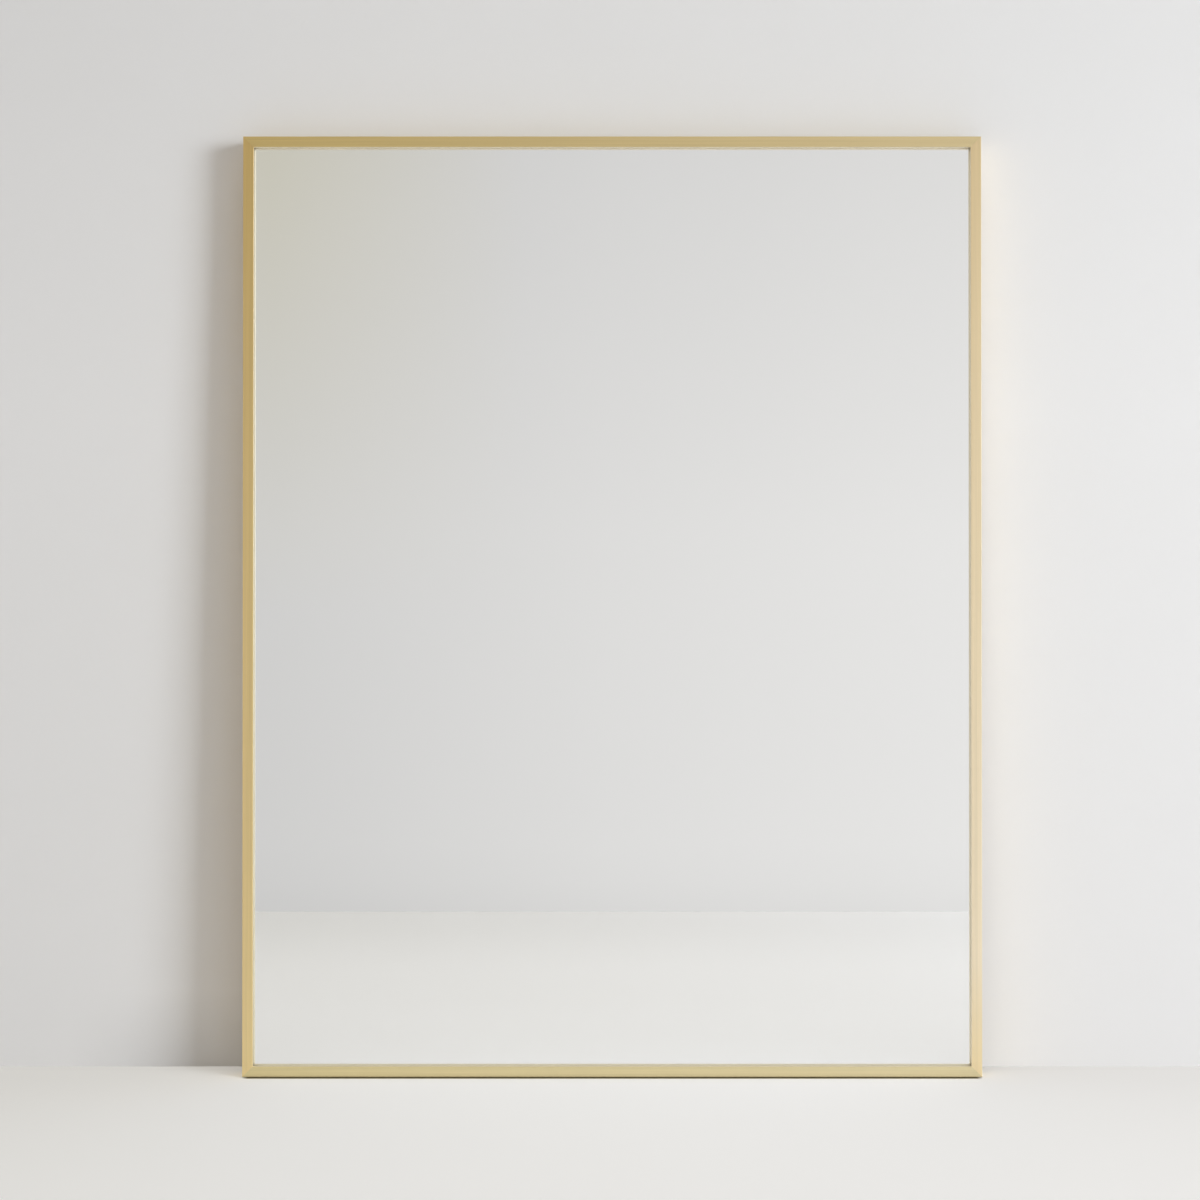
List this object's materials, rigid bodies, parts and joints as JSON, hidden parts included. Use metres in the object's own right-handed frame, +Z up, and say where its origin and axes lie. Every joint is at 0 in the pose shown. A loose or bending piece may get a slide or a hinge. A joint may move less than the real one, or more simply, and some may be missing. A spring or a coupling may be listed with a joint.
{
  "type": "wall mirror",
  "caption": "Rectangular mirror in a thin brushed gold metal frame with mitred corners, with swinging rings and rubber bumpers behind, to hang or lean on a wall.",
  "frame": {"origin": "on the floor, under the middle of the box round the whole standing mirror", "axes": "+Z up along the tall side, +Y back towards the wall, +X to the right of someone who looks into the mirror"},
  "size_m": [0.5588, 0.0244, 0.7112],
  "materials": {
    "brushed_gold": "brushed along each rail and anodised pale gold",
    "clear_glass": "clear float glass with ground edges",
    "silvering": "silvered on the glass side, dull grey paint behind",
    "hardboard": "brown pressed hardboard, smooth",
    "spring_steel": "rolled spring steel with a blue grey oxide",
    "zinc_plated_steel": "bright zinc plate with a dull bloom",
    "nickel_plated_steel": "nickel plated, lightly brushed",
    "rubber": "soft pale rubber, matte"
  },
  "bodies": {
    "mirror": {"frame_bottom_rail": "brushed_gold", "frame_left_rail": "brushed_gold", "frame_top_rail": "brushed_gold", "frame_right_rail": "brushed_gold", "mirror_glass": "clear_glass", "mirror_silvering": "silvering", "backing_board": "hardboard", "spring_clip_bottom_left": "spring_steel", "spring_clip_bottom_right": "spring_steel", "spring_clip_left_upper": "spring_steel", "spring_clip_left_lower": "spring_steel", "spring_clip_top_left": "spring_steel", "spring_clip_top_right": "spring_steel", "spring_clip_right_upper": "spring_steel", "spring_clip_right_lower": "spring_steel", "corner_key_bottom_left": "zinc_plated_steel", "corner_key_top_left": "zinc_plated_steel", "corner_key_top_right": "zinc_plated_steel", "corner_key_bottom_right": "zinc_plated_steel", "corner_shim_bottom_left": "zinc_plated_steel", "corner_shim_top_left": "zinc_plated_steel", "corner_shim_top_right": "zinc_plated_steel", "corner_shim_bottom_right": "zinc_plated_steel", "jack_screws": "zinc_plated_steel", "hanger_nut_left": "zinc_plated_steel", "hanger_strap_left": "nickel_plated_steel", "hanger_screw_left": "nickel_plated_steel", "hanger_nut_right": "zinc_plated_steel", "hanger_strap_right": "nickel_plated_steel", "hanger_screw_right": "nickel_plated_steel", "wall_bumper_bottom_left": "rubber", "wall_bumper_top_left": "rubber", "wall_bumper_top_right": "rubber", "wall_bumper_bottom_right": "rubber"},
    "ring_left": {"d_ring_left": "nickel_plated_steel"},
    "ring_right": {"d_ring_right": "nickel_plated_steel"}
  },
  "joints": [
    {"name": "ring_left_swing", "type": "hinge", "parent": "mirror", "child": "ring_left", "pos_m": [-0.2719, 0.00971, 0.5412], "axis": [1, 0, 0], "range_deg": [0, 180]},
    {"name": "ring_right_swing", "type": "hinge", "parent": "mirror", "child": "ring_right", "pos_m": [0.2719, 0.00971, 0.5412], "axis": [1, 0, 0], "range_deg": [0, 180]}
  ]
}
